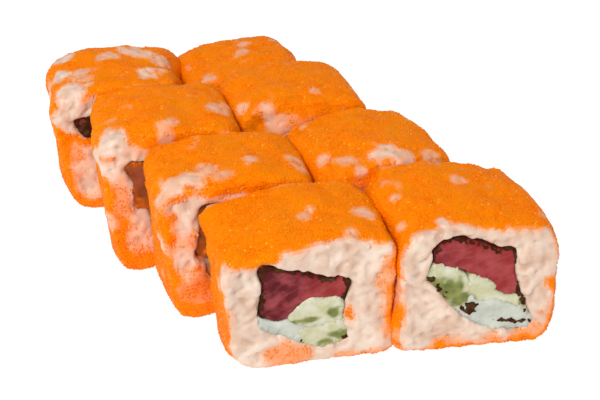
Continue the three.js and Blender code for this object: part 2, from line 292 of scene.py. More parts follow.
def set_attribute(mesh, name, values):
    attribute = mesh.attributes.new(name, "FLOAT", "POINT")
    attribute.data.foreach_set("value", np.asarray(values, np.float32))


def chance(cells, seed):
    """A fixed random number from 0 to 1 for each cell of a grid."""
    wave = np.sin(cells @ np.array([127.1, 311.7, 74.7]) + seed * 53.3) * 43758.5453
    return wave - np.floor(wave)


def noise(points, pitch, seed):
    """Smooth random values from 0 to 1, with bumps about a pitch apart."""
    cells = points / pitch
    low = np.floor(cells)
    part = cells - low
    part = part * part * (3 - 2 * part)
    total = np.zeros(len(points))
    for corner in np.ndindex(2, 2, 2):
        share = np.prod(np.where(corner, part, 1 - part), axis=1)
        total += share * chance(low + corner, seed)
    return total


def layered(points, layers, seed):
    """The sum of a table's layers of noise at each point, in the unit of their heights."""
    return sum(
        (noise(points, pitch * MM, seed + number) - level) * height
        for pitch, level, height, number in layers
    )


def ramp(values, low, high):
    """From 0 at low to 1 at high, eased at both ends."""
    share = np.clip((values - low) / (high - low), 0, 1)
    return share * share * (3 - 2 * share)


def select_only(*pieces):
    bpy.ops.object.select_all(action="DESELECT")
    for piece in pieces:
        piece.select_set(True)
    bpy.context.view_layer.objects.active = pieces[0]


def join(*pieces):
    """Joins all the pieces into the first one."""
    select_only(*pieces)
    bpy.ops.object.join()


def apply_modifier(piece, kind, **settings):
    select_only(piece)
    bpy.ops.object.modifier_add(type=kind)
    modifier = piece.modifiers[-1]
    for key, value in settings.items():
        setattr(modifier, key, value)
    bpy.ops.object.modifier_apply(modifier=modifier.name)


def melt(piece, voxel, passes):
    """Makes a piece one closed skin again and smooths it a number of times."""
    apply_modifier(piece, "REMESH", mode="VOXEL", voxel_size=voxel)
    apply_modifier(piece, "SMOOTH", factor=0.5, iterations=passes)


def push_out(piece, heights):
    """Moves each vertex out along its normal by its own height."""
    normals = vertex_normals(piece.data)
    set_coordinates(piece.data, coordinates(piece.data) + normals * heights[:, None])


def thin_out(piece, hidden):
    """Takes most faces away where a piece can't be seen, given as a mask of its vertices."""
    group = piece.vertex_groups.new(name="hidden")
    group.add(np.flatnonzero(hidden).tolist(), 1, "REPLACE")
    ratio = 1 - (1 - HIDDEN_SHARE) * np.mean(hidden)
    apply_modifier(piece, "DECIMATE", ratio=ratio, vertex_group="hidden")
    piece.vertex_groups.clear()


def add_piece(name, mesh):
    piece = bpy.data.objects.new(name, mesh)
    bpy.context.scene.collection.objects.link(piece)
    return piece


def copy_of(node, name):
    """A piece of its own with the mesh of a node, its loose triangles merged."""
    piece = add_piece(name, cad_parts[node].data.copy())
    piece.data.name = name
    piece.data.materials.clear()
    select_only(piece)
    bpy.ops.object.mode_set(mode="EDIT")
    bpy.ops.mesh.select_all(action="SELECT")
    bpy.ops.mesh.remove_doubles(threshold=0.005 * MM)
    bpy.ops.object.mode_set(mode="OBJECT")
    piece.matrix_world = Matrix.Identity(4)
    for left_over in [a.name for a in piece.data.attributes if a.name.startswith("custom")]:
        piece.data.attributes.remove(piece.data.attributes[left_over])
    return piece


def shade_smooth(piece):
    select_only(piece)
    bpy.ops.object.shade_smooth()


class Slice:
    """Where one slice of the roll stands, worked out from its nodes."""

    def __init__(self, name, seed):
        self.name = name
        self.seed = seed
        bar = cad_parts[name + "_tuna"].data
        normals = np.array([p.normal[:] for p in bar.polygons])
        areas = np.array([p.area for p in bar.polygons])
        _, directions = np.linalg.eigh((normals * areas[:, None]).T @ normals)
        along = directions[:, np.argmax(np.abs(directions[1]))]
        self.along = along * np.sign(along[1])
        self.across = np.array([self.along[1], -self.along[0], 0])
        self.up = np.array([0, 0, 1.0])
        self.axes = np.array([self.across, self.along, self.up])
        rice = coordinates(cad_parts[name + "_rice"].data) @ self.axes.T
        self.low, self.high = rice.min(0), rice.max(0)
        self.middle = (self.low + self.high) / 2
        parts = ("tuna", "cucumber_1", "cucumber_2", "cheese")
        ends = [self.local(coordinates(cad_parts[f"{name}_{part}"].data)) for part in parts]
        self.heart = np.mean([end.mean(0) for end in ends], axis=0)

    def local(self, points):
        """Across, along and up from the middle of the slice."""
        return points @ self.axes.T - self.middle

    def world(self, points):
        return (points + self.middle) @ self.axes

    def in_filling(self, points):
        """Across and up in the filling's own section, before its turn."""
        turn = math.radians(-FILLING[self.name][1])
        cos, sin = math.cos(turn), math.sin(turn)
        return points[:, [0, 2]] @ np.array([[cos, sin], [-sin, cos]])

    def faces_along(self, normals):
        """How much each normal lies along the slice, from 0 to 1."""
        return np.abs(normals @ self.along)


# Geometry Nodes that scatter a small thing over a piece's surface


def scatter_tree(name, thing, spacing, lift, tilt, sizes, seed):
    tree = bpy.data.node_groups.new(name, "GeometryNodeTree")
    tree.interface.new_socket("Geometry", in_out="INPUT", socket_type="NodeSocketGeometry")
    tree.interface.new_socket("Geometry", in_out="OUTPUT", socket_type="NodeSocketGeometry")
    nodes, links = tree.nodes, tree.links
    start = nodes.new("NodeGroupInput")
    end = nodes.new("NodeGroupOutput")
    share = nodes.new("GeometryNodeInputNamedAttribute")
    share.data_type = "FLOAT"
    share.inputs["Name"].default_value = "cover"
    points = nodes.new("GeometryNodeDistributePointsOnFaces")
    points.distribute_method = "POISSON"
    points.inputs["Distance Min"].default_value = spacing
    points.inputs["Density Max"].default_value = PLACE_TRIES / spacing**2
    points.inputs["Seed"].default_value = seed
    raised = nodes.new("ShaderNodeVectorMath")
    raised.operation = "SCALE"
    raised.inputs["Scale"].default_value = lift
    moved = nodes.new("GeometryNodeSetPosition")
    turn = nodes.new("FunctionNodeRandomValue")
    turn.data_type = "FLOAT_VECTOR"
    turn.inputs["Min"].default_value = (-tilt, -tilt, 0)
    turn.inputs["Max"].default_value = (tilt, tilt, 2 * math.pi)
    turn.inputs["Seed"].default_value = seed + 1
    euler = nodes.new("FunctionNodeEulerToRotation")
    rotate = nodes.new("FunctionNodeRotateRotation")
    rotate.rotation_space = "LOCAL"
    size = nodes.new("FunctionNodeRandomValue")
    size.data_type = "FLOAT"
    size.inputs[RANDOM_LOW].default_value, size.inputs[RANDOM_HIGH].default_value = sizes
    size.inputs["Seed"].default_value = seed + 2
    shape = nodes.new("GeometryNodeObjectInfo")
    shape.inputs["Object"].default_value = thing
    copies = nodes.new("GeometryNodeInstanceOnPoints")
    # A random value for each copy, which the roe's colour reads for its tone and its painted glints
    tone_and_glint = nodes.new("FunctionNodeRandomValue")
    tone_and_glint.data_type = "FLOAT"
    tone_and_glint.inputs["Seed"].default_value = seed + 3
    store = nodes.new("GeometryNodeStoreNamedAttribute")
    store.data_type = "FLOAT"
    store.domain = "INSTANCE"
    store.inputs["Name"].default_value = "tone_and_glint"
    real = nodes.new("GeometryNodeRealizeInstances")
    links.new(start.outputs["Geometry"], points.inputs["Mesh"])
    links.new(share.outputs["Attribute"], points.inputs["Density Factor"])
    links.new(points.outputs["Normal"], raised.inputs[0])
    links.new(points.outputs["Points"], moved.inputs["Geometry"])
    links.new(raised.outputs["Vector"], moved.inputs["Offset"])
    links.new(turn.outputs["Value"], euler.inputs["Euler"])
    links.new(points.outputs["Rotation"], rotate.inputs["Rotation"])
    links.new(euler.outputs["Rotation"], rotate.inputs["Rotate By"])
    links.new(moved.outputs["Geometry"], copies.inputs["Points"])
    links.new(shape.outputs["Geometry"], copies.inputs["Instance"])
    links.new(rotate.outputs["Rotation"], copies.inputs["Rotation"])
    links.new(size.outputs[RANDOM_VALUE], copies.inputs["Scale"])
    links.new(copies.outputs["Instances"], store.inputs["Geometry"])
    links.new(tone_and_glint.outputs[RANDOM_VALUE], store.inputs["Value"])
    links.new(store.outputs["Geometry"], real.inputs["Geometry"])
    links.new(real.outputs["Geometry"], end.inputs["Geometry"])
    return tree


def scattered(guide, name, cover, **settings):
    """A piece of many copies of a thing, spread over the guide where cover is above zero."""
    piece = add_piece(name, guide.data.copy())
    set_attribute(piece.data, "cover", cover)
    tree = scatter_tree(name + "_spread", **settings)
    apply_modifier(piece, "NODES", node_group=tree)
    bpy.data.node_groups.remove(tree)
    return piece


def make_grain():
    """A cooked grain: a long body, slimmer at one end, a little flat and bent."""
    bpy.ops.object.select_all(action="DESELECT")
    bpy.ops.mesh.primitive_ico_sphere_add(subdivisions=2, radius=0.5)
    grain = bpy.context.object
    points = coordinates(grain.data)
    points[:, 1] *= 1 - GRAIN_TAPER * points[:, 0]
    points *= (GRAIN_LENGTH, GRAIN_WIDTH, GRAIN_WIDTH * GRAIN_FLAT)
    points[:, 2] += GRAIN_BEND * points[:, 0] ** 2 / GRAIN_LENGTH
    set_coordinates(grain.data, points)
    return grain


def make_egg():
    """A roe egg: a small closed body of eight faces, shaded round."""
    bpy.ops.object.select_all(action="DESELECT")
    bpy.ops.mesh.primitive_uv_sphere_add(segments=4, ring_count=2, radius=EGG_WIDTH / 2)
    egg = bpy.context.object
    bpy.ops.object.shade_smooth()
    return egg


def make_bead():
    """A small ball, many of which melt together into a fold of nori."""
    bpy.ops.object.select_all(action="DESELECT")
    bpy.ops.mesh.primitive_ico_sphere_add(subdivisions=1, radius=BEAD_RADIUS)
    return bpy.context.object


# Rice and roe


def body(slice_, middle, size):
    """A closed body like a rounded box in the slice, from a row of the table PRESSED."""
    bpy.ops.object.select_all(action="DESELECT")
    bpy.ops.mesh.primitive_ico_sphere_add(subdivisions=4, radius=1)
    ball = bpy.context.object
    points = coordinates(ball.data)
    points = (np.sign(points) * np.abs(points) ** PRESSED_ROUNDNESS * size + middle) * MM
    set_coordinates(ball.data, slice_.world(points))
    return ball


def other_slices(slice_):
    """The surfaces of all the other slices, to measure how far away they are."""
    corners, faces = [], []
    for name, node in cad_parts.items():
        if name.endswith("_rice") and not name.startswith(slice_.name):
            start = len(corners)
            corners += [v.co[:] for v in node.data.vertices]
            faces += [[start + i for i in p.vertices] for p in node.data.polygons]
    return BVHTree.FromPolygons(corners, faces)


def swell_to_meet(slice_, points, normals):
    """How far each point moves out, so that slices which nearly touch do touch."""
    others = other_slices(slice_)
    swell = np.full(len(points), SPREAD)
    for i, (point, normal) in enumerate(zip(points, normals)):
        near, _, _, gap = others.find_nearest(point)
        if near is None or gap > 2 * MEET_WITHIN:
            continue
        facing = max(0, (near - Vector(point)).dot(normal) / max(gap, 0.01 * MM))
        fade = 1 - max(0, gap - MEET_WITHIN) / MEET_WITHIN
        swell[i] += max(0, gap / 2 - SPREAD) * fade * facing
    return swell


def make_guide(slice_):
    """The slice's smooth surface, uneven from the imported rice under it, for all that lies on it."""
    guide = copy_of(slice_.name + "_rice", slice_.name + "_guide")
    join(guide, *[body(slice_, *place) for place in PRESSED.get(slice_.name, [])])
    melt(guide, GUIDE_VOXEL, 6)
    world = coordinates(guide.data)
    points = slice_.local(world)
    lumps = layered(points, RICE_LUMPS, slice_.seed)
    for middle, radius, height in BULGES.get(slice_.name, []):
        distance = np.linalg.norm(points - np.array(middle) * MM, axis=1)
        lumps += height * (1 - ramp(distance, 0, radius * MM))
    lumps *= MM * ramp(world[:, 2], FLOOR + 0.3 * MM, FLOOR + 3 * MM)
    normals = vertex_normals(guide.data)
    world += normals * (lumps + swell_to_meet(slice_, world, normals))[:, None]
    world[:, 2] = np.maximum(world[:, 2], FLOOR)
    set_coordinates(guide.data, world)
    return guide


def nearest_distance(points, targets):
    tree = KDTree(len(targets))
    for i, target in enumerate(targets):
        tree.insert(target, i)
    tree.balance()
    return np.array([tree.find(p)[2] for p in points])


def spots(points, places, wobble):
    """How far each point lies in any of the round spots, from 0 to 1."""
    inside = np.zeros(len(points))
    for middle, radius in places:
        distance = np.linalg.norm(points - np.array(middle) * MM, axis=1) / (radius * MM)
        inside = np.maximum(inside, 1 - ramp(distance + wobble, 0.6, 1.3))
    return inside


def wrap_over_cut(slice_, points):
    """How far the roe reaches over the edge of the nearest cut at each point."""
    half = (slice_.high - slice_.low) / 2
    across, up = points[:, 0] / half[0], points[:, 2] / half[2]
    weights = np.clip([up, -across, across, -up], 0.01, 1) ** 4
    weights /= weights.sum(0)
    front = WRAP.get(slice_.name, COVERED_WRAP)
    share = ramp(across, -0.9, 0.3)
    wraps = []
    for left, right, *others in (front, BACK_WRAP):
        sides = [left + (right - left) * share] + [np.full(len(points), w) for w in others]
        wraps.append(np.sum(weights * np.array(sides), axis=0) * MM)
    return np.where(points[:, 1] < 0, wraps[0], wraps[1])


def smear_over_cut(slice_, points):
    """The share of roe smeared on the front cut of a slice that another slice covers."""
    low = ramp(-points[:, 2], -12 * MM, 14 * MM)
    blotch = ramp(noise(points, 4.5 * MM, slice_.seed + 50), 0.35, 0.75)
    thick = COVERED_SMEAR[slice_.name.split("_")[0]]
    return np.clip(thick * (0.55 + 0.5 * low) + 0.45 * (blotch - 0.5), 0, 1)


def thin_coat(slice_, points, wobble):
    """How bare the coat is at each point: faint flecks all over, and the patches of THIN."""
    seed = slice_.seed
    flecks = noise(points, 2.6 * MM, seed + 60) + 0.4 * noise(points, 8 * MM, seed + 80)
    bare = 0.3 * ramp(flecks, 1.0, 1.14)
    uneven = 0.5 + 0.5 * ramp(noise(points, 1.5 * MM, seed + 45), 0.2, 0.7)
    for bareness, places in THIN[slice_.name].items():
        patch = spots(points, places, wobble) * bareness * (0.8 + 0.2 * uneven)
        bare = np.maximum(bare, patch)
    return bare


def measure_guide(slice_, guide):
    """For each point of the guide: on an outer wall or a cut face, and its share of roe."""
    points = slice_.local(coordinates(guide.data))
    normals = vertex_normals(guide.data) @ slice_.axes.T
    outward = np.sum(normals[:, [0, 2]] * points[:, [0, 2]], axis=1) > 0
    at_cut = np.abs(normals[:, 1]) > CUT_FACING
    wall = ~at_cut & outward
    from_cut = nearest_distance(points, points[at_cut])
    from_wall = nearest_distance(points, points[wall])
    reach = np.where(wall, from_cut, -from_wall)
    edge = layered(points, COAT_EDGE, slice_.seed) * MM - wrap_over_cut(slice_, points)
    coat = ramp(reach, edge - 1.7 * MM, edge + 0.9 * MM)
    if slice_.name not in WRAP:
        smear = smear_over_cut(slice_, points)
        coat = np.where(at_cut & (points[:, 1] < 0), np.maximum(coat, smear), coat)
    wobble = layered(points, SPOT_EDGE, slice_.seed)
    spill = spots(points, SPILL.get(slice_.name, []), wobble)
    coat = np.maximum(coat * (1 - thin_coat(slice_, points, wobble)), spill * SPILL_SHARE)
    coat[~wall & ~at_cut] = 0
    return wall, at_cut, coat


def pack_grains(slice_, guide, grain, outside, coat):
    """Grains fused into the surface of a core, which lies back further where they are bare."""
    grains = scattered(
        guide, slice_.name + "_grains", outside, thing=grain, spacing=GRAIN_SPACING,
        lift=-GRAIN_SINK, tilt=GRAIN_TILT, sizes=(0.86, 1.1), seed=slice_.seed,
    )
    rice = add_piece(slice_.name + "_packed_rice", guide.data.copy())
    sink = outside * (BED_SINK + (CORE_SINK - BED_SINK) * (1 - ramp(coat, 0.2, 0.7)))
    push_out(rice, -sink)
    join(rice, grains)
    melt(rice, RICE_VOXEL, 1)
    return rice


def press_to_guide(rice, guide, deep, coat):
    """Presses the grains back to the guide, and marks how deep the creases lie, for the painted shade
    in them, and the coat of roe.

    Gives a mask of the vertices that lie deep in the hollow.
    """
    surface = BVHTree.FromObject(guide, bpy.context.evaluated_depsgraph_get())
    corners = [p.vertices[:] for p in guide.data.polygons]
    points = coordinates(rice.data)
    depth = np.empty(len(points))
    roe = np.empty(len(points))
    in_hollow = np.zeros(len(points), bool)
    for i, point in enumerate(points):
        near, normal, face, _ = surface.find_nearest(point)
        depth[i] = (Vector(point) - near).dot(normal)
        roe[i] = coat[list(corners[face])].mean()
        in_hollow[i] = deep[list(corners[face])].all()
        proud = GRAIN_PROUD + BARE_PROUD * (1 - roe[i])
        if depth[i] > proud:
            points[i] = near + normal * proud
    points[:, 2] = np.maximum(points[:, 2], FLOOR)
    set_coordinates(rice.data, points)
    set_attribute(rice.data, "crease", np.clip(-depth / CORE_SINK, 0, 1))
    set_attribute(rice.data, "coat", roe)
    return in_hollow


def make_rice(slice_, guide, grain, wall, at_cut, coat):
    """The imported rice, with few faces left where its hollow can't be seen into."""
    points = coordinates(guide.data)
    hollow = ~wall & ~at_cut
    outside = ~hollow * ramp(nearest_distance(points, points[hollow]), 0.5 * MM, 1.5 * MM)
    deep = hollow & (nearest_distance(points, points[at_cut]) > SHOWN_DEPTH)
    rice = pack_grains(slice_, guide, grain, outside, coat)
    thin_out(rice, press_to_guide(rice, guide, deep, coat))
    apply_modifier(rice, "SMOOTH", factor=0.5, iterations=1)
    shade_smooth(rice)
    return rice


def make_roe(slice_, guide, egg, coat):
    cover = ramp(coat, 0.25, 0.8)
    cover[coordinates(guide.data)[:, 2] < FLOOR + CLEAR_OF_FLOOR] = 0
    return scattered(
        guide, slice_.name + "_roe", cover, thing=egg, spacing=EGG_SPACING, lift=EGG_LIFT,
        tilt=math.pi, sizes=(0.82, 1.12), seed=slice_.seed + 100,
    )


# Fillings


def make_filling(slice_, part, name, swell):
    """A filling, its sides pressed to the next one and, by the swell more, to the rice."""
    piece = copy_of(f"{slice_.name}_{part}", name)
    melt(piece, FILLING_VOXEL, 2)
    points = coordinates(piece.data)
    at_end = slice_.faces_along(vertex_normals(piece.data)) > CUT_FACING
    thin_out(piece, nearest_distance(points, points[at_end]) > SHOWN_DEPTH)
    normals = vertex_normals(piece.data)
    away = (slice_.local(coordinates(piece.data)) - slice_.heart) * (1, 0, 1)
    away /= np.linalg.norm(away, axis=1)[:, None]
    facing = np.sum((normals @ slice_.axes.T) * away, axis=1)
    side = 1 - ramp(slice_.faces_along(normals), CUT_FACING, 0.95)
    press = side * (CLOSE_UP + swell * ramp(facing, 0.1, 0.6)) + (1 - side) * END_SWELL
    push_out(piece, press)
    return piece


def patches(section, places, wobble):
    """How far each point of a section lies in any of the patches, from 0 to 1."""
    inside = np.zeros(len(section))
    for middle, half in places:
        distance = np.linalg.norm((section / MM - np.array(middle)) / np.array(half), axis=1)
        inside = np.maximum(inside, 1 - ramp(distance + wobble, 0.6, 1.25))
    return inside


def smear_front(slice_, piece):
    """Marks how far the front end of a filling is smeared with roe."""
    local = slice_.local(coordinates(piece.data))
    patchy = 0.7 + 0.5 * ramp(noise(local, 2.6 * MM, slice_.seed + 12), 0.3, 0.7)
    patchy += layered(local, SMEAR_GRAIN, slice_.seed)
    front = local[:, 1].min()
    at_front = 1 - ramp(local[:, 1], front + 3 * MM, front + 6 * MM)
    smear = np.clip(FILLING_SMEAR.get(slice_.name, 0) * patchy * at_front, 0, 1)
    set_attribute(piece.data, "smear", smear)


def make_tuna(slice_):
    """A slab of raw fish, its cut faces a little uneven along the grain."""
    tuna = make_filling(slice_, "tuna", slice_.name + "_tuna_slab", TUNA_SWELL)
    local = slice_.local(coordinates(tuna.data))
    section = slice_.in_filling(local)
    slant = section[:, 0] * 0.5 + section[:, 1] + 3 * MM * noise(local, 6 * MM, slice_.seed)
    ridges = np.sin(slant / RIDGE_PITCH) * RIDGE_HEIGHT
    push_out(tuna, ridges + layered(local, TUNA_LUMPS, slice_.seed) * MM)
    shade = section[:, 0] + layered(local, TUNA_SHADES, slice_.seed) * MM
    dark = DARK_SIDE[FILLING[slice_.name][0]]
    set_attribute(tuna.data, "red", ramp(shade, dark * MM, (dark + SHADE_WIDTH) * MM))
    shade_smooth(tuna)
    return tuna


def make_cucumber(slice_, part):
    """A stick of cucumber, green along its outer side and where the skin shows in the cut."""
    stick = make_filling(slice_, part, f"{slice_.name}_{part}_stick", SOFT_SWELL)
    local = slice_.local(coordinates(stick.data))
    section = slice_.in_filling(local)
    away = section.mean(0) - slice_.in_filling(slice_.heart[None])[0]
    away /= np.linalg.norm(away)
    height = section @ away
    rind = ramp(height, height.max() - 1.5 * SKIN_DEPTH, height.max() - 0.3 * SKIN_DEPTH)
    wobble = layered(local, SKIN_EDGE, slice_.seed)
    marks = patches(section, SKIN[FILLING[slice_.name][0]], wobble)
    set_attribute(stick.data, "skin", np.maximum(rind * 0.5, marks))
    push_out(stick, layered(local, CUCUMBER_LUMPS, slice_.seed) * MM)
    shade_smooth(stick)
    return stick


def make_cheese(slice_):
    """Soft cheese, pressed out over the nori where nothing else holds it."""
    cheese = make_filling(slice_, "cheese", slice_.name + "_soft_cheese", SOFT_SWELL)
    local = slice_.local(coordinates(cheese.data))
    push_out(cheese, layered(local, CHEESE_LUMPS, slice_.seed) * MM)
    shade_smooth(cheese)
    return cheese


def nori_and_shade_cover(slice_, filling):
    """Where crumpled nori shows on a filling's ends, from 0 to 1; on the tuna also its nori band,
    partly painted shade.
    """
    kind = FILLING[slice_.name][0]
    creases = CREASES[kind] + CREASES.get(slice_.name, [])
    local = slice_.local(coordinates(filling.data))
    section = slice_.in_filling(local)
    at_end = slice_.faces_along(vertex_normals(filling.data)) > CUT_FACING
    cover = patches(section, creases, layered(local, FOLD_EDGE, slice_.seed)) * at_end
    if not filling.name.endswith("tuna_slab"):
        return cover
    to_rim = np.where(
        at_end, nearest_distance(local, local[~at_end]), nearest_distance(local, local[at_end])
    )
    reach = np.zeros(len(local))
    # The band is widened where the gap beside the tuna is dark: painted shade.
    for middle, radius, width in NORI_AND_SHADE_BAND[kind]:
        distance = np.linalg.norm(section / MM - middle, axis=1) / radius
        reach = np.maximum(reach, width * MM * (1 - ramp(distance, 0.5, 1.3)))
    reach *= 0.45 + 1.1 * noise(local, 1.1 * MM, slice_.seed + 14)
    return np.maximum(cover, ramp(reach - to_rim, -0.1 * MM, 0.15 * MM))


def make_nori(slice_, fillings, bead):
    """The seaweed round the filling: a sheet, and its crumpled edge that shows at the cuts, widened
    into painted shade along the tuna.
    """
    nori = copy_of(slice_.name + "_nori", slice_.name + "_nori_sheet")
    apply_modifier(nori, "SUBSURF", subdivision_type="SIMPLE", levels=2, render_levels=2)
    points = slice_.local(coordinates(nori.data))
    half = points[:, 1].max()
    ring = points * (1, 0, 1)
    fish = slice_.local(coordinates(fillings[0].data)) * (1, 0, 1)
    held = 1 - ramp(nearest_distance(ring, fish), 1.0 * MM, 2.4 * MM)
    ragged = layered(ring, NORI_EDGE, slice_.seed) * MM - (1 - held) * NORI_BACK
    points[:, 1] += np.sign(points[:, 1]) * ragged * ramp(np.abs(points[:, 1]), half * 0.7, half)
    set_coordinates(nori.data, slice_.world(points))
    folds = []
    for number, filling in enumerate(fillings):
        cover = nori_and_shade_cover(slice_, filling)
        if cover.max() > 0.5:
            folds.append(scattered(
                filling, f"{slice_.name}_folds_{number}", cover, thing=bead,
                spacing=BEAD_SPACING, lift=0.05 * MM, tilt=math.pi, sizes=(0.7, 1.3),
                seed=slice_.seed + 300 + number,
            ))
    join(*folds)
    melt(folds[0], FOLD_VOXEL, 1)
    join(nori, folds[0])
    shade_smooth(nori)
    return nori


# Shader node groups


def new_group(name, inputs, outputs):
    group = bpy.data.node_groups.new(name, "ShaderNodeTree")
    for socket, kind, value in inputs:
        item = group.interface.new_socket(socket, in_out="INPUT", socket_type=kind)
        if value is not None:
            item.default_value = value
    for socket, kind in outputs:
        group.interface.new_socket(socket, in_out="OUTPUT", socket_type=kind)
    return group, group.nodes.new("NodeGroupInput"), group.nodes.new("NodeGroupOutput")


def blotch_group():
    """Soft blotches from 0 to 1, in two sizes that are given in millimetres."""
    group, start, end = new_group(
        "soft blotches",
        [("Large", "NodeSocketFloat", 4.0), ("Small", "NodeSocketFloat", 1.0)],
        [("Mask", "NodeSocketFloat"), ("Fine", "NodeSocketFloat")],
    )
    nodes, links = group.nodes, group.links
    place = nodes.new("ShaderNodeTexCoord")
    for size, output in (("Large", "Mask"), ("Small", "Fine")):
        scale = nodes.new("ShaderNodeMath")
        scale.operation = "DIVIDE"
        scale.inputs[0].default_value = 1 / MM
        blotch = nodes.new("ShaderNodeTexNoise")
        blotch.inputs["Detail"].default_value = 3
        links.new(start.outputs[size], scale.inputs[1])
        links.new(place.outputs["Object"], blotch.inputs["Vector"])
        links.new(scale.outputs[0], blotch.inputs["Scale"])
        links.new(blotch.outputs["Fac"], end.inputs[output])
    return group


def new_material(name, roughness, subsurface=0.0, radius=(1, 1, 1), scale=MM):
    material = bpy.data.materials.new(name)
    material.use_nodes = True
    nodes = material.node_tree.nodes
    shader = nodes["Principled BSDF"]
    shader.inputs["Roughness"].default_value = roughness
    shader.inputs["Subsurface Weight"].default_value = subsurface
    shader.inputs["Subsurface Radius"].default_value = radius
    shader.inputs["Subsurface Scale"].default_value = scale
    return material, nodes, material.node_tree.links, shader


def use_group(nodes, group, **values):
    node = nodes.new("ShaderNodeGroup")
    node.node_tree = group
    for key, value in values.items():
        node.inputs[key].default_value = value
    return node


def colour_ramp(nodes, stops):
    node = nodes.new("ShaderNodeValToRGB")
    elements = node.color_ramp.elements
    while len(elements) < len(stops):
        elements.new(0.5)
    for element, (position, colour) in zip(elements, stops):
        element.position = position
        element.color = (*colour, 1)
    return node


def mix_colour(nodes, links, share, first, second):
    mix = nodes.new("ShaderNodeMix")
    mix.data_type = "RGBA"
    links.new(share, mix.inputs["Factor"])
    for socket, value in ((MIX_FIRST, first), (MIX_SECOND, second)):
        if isinstance(value, tuple):
            mix.inputs[socket].default_value = (*value, 1)
        else:
            links.new(value, mix.inputs[socket])
    return mix.outputs[MIX_RESULT]


def bump(nodes, links, shader, height, strength, distance):
    node = nodes.new("ShaderNodeBump")
    node.inputs["Strength"].default_value = strength
    node.inputs["Distance"].default_value = distance
    links.new(height, node.inputs["Height"])
    links.new(node.outputs["Normal"], shader.inputs["Normal"])


def marked(nodes, name):
    """What a piece's attribute says at each point."""
    node = nodes.new("ShaderNodeAttribute")
    node.attribute_name = name
    return node.outputs["Fac"]


def smear_group():
    """A filling's colour under smeared roe: brownish where it is thin, orange where thick."""
    group, start, end = new_group(
        "roe smear",
        [("Colour", "NodeSocketColor", None), ("Share", "NodeSocketFloat", 0.0)],
        [("Colour", "NodeSocketColor")],
    )
    nodes, links = group.nodes, group.links
    roe = colour_ramp(nodes, [(0.5, (0.32, 0.10, 0.015)), (0.8, (0.42, 0.10, 0.012)),
                              (1.0, (0.80, 0.20, 0.015))])
    links.new(start.outputs["Share"], roe.inputs["Fac"])
    smeared = mix_colour(nodes, links, start.outputs["Share"], start.outputs["Colour"],
                         roe.outputs["Color"])
    links.new(smeared, end.inputs["Colour"])
    return group


def smeared(nodes, links, group, colour):
    node = use_group(nodes, group)
    links.new(colour, node.inputs["Colour"])
    links.new(marked(nodes, "smear"), node.inputs["Share"])
    return node.outputs["Colour"]


def rice_material(blotches):
    material, nodes, links, shader = new_material(
        "moist rice", 0.35, subsurface=0.2, radius=(1.0, 0.7, 0.55), scale=1.2 * MM
    )
    marks = use_group(nodes, blotches, Large=4.0, Small=0.6)
    # The rice's own pale colour varies in soft blotches; its peach tint is partly painted reflection
    # of the orange roe round it.
    white = colour_ramp(nodes, [(0.34, (0.61, 0.41, 0.30)), (0.64, (0.73, 0.59, 0.48))])
    links.new(marks.outputs["Mask"], white.inputs["Fac"])
    # Painted shade: the rice turns brownish in the creases between grains, more so the deeper they
    # lie.
    crease_shade_share = colour_ramp(nodes, [(0.1, (0, 0, 0)), (1.0, (0.6, 0.6, 0.6))])
    links.new(marked(nodes, "crease"), crease_shade_share.inputs["Fac"])
    crease_shaded = mix_colour(nodes, links, crease_shade_share.outputs["Color"], white.outputs["Color"],
                         (0.44, 0.24, 0.16))
    bed = colour_ramp(nodes, [(0.3, (0.88, 0.18, 0.0)), (0.65, (0.92, 0.23, 0.001))])
    links.new(marks.outputs["Fine"], bed.inputs["Fac"])
    wet = colour_ramp(nodes, [(0.0, (0.02, 0.02, 0.02)), (0.3, (0.2, 0.2, 0.2)), (0.85, (1, 1, 1))])
    links.new(marked(nodes, "coat"), wet.inputs["Fac"])
    colour = mix_colour(nodes, links, wet.outputs["Color"], crease_shaded, bed.outputs["Color"])
    links.new(colour, shader.inputs["Base Color"])
    gloss = nodes.new("ShaderNodeMapRange")
    gloss.inputs["From Max"].default_value = 0.6
    gloss.inputs["To Min"].default_value = 0.35
    gloss.inputs["To Max"].default_value = 0.03
    links.new(marked(nodes, "coat"), gloss.inputs["Value"])
    links.new(gloss.outputs["Result"], shader.inputs["Specular IOR Level"])
    bump(nodes, links, shader, marks.outputs["Fine"], 0.2, 0.12 * MM)
    return material


def height_share(nodes, links, low, high):
    """From 0 at the height low to 1 at the height high, in object coordinates."""
    place = nodes.new("ShaderNodeTexCoord")
    split = nodes.new("ShaderNodeSeparateXYZ")
    share = nodes.new("ShaderNodeMapRange")
    share.inputs["From Min"].default_value = low
    share.inputs["From Max"].default_value = high
    links.new(place.outputs["Object"], split.inputs["Vector"])
    links.new(split.outputs["Z"], share.inputs["Value"])
    return share.outputs["Result"]


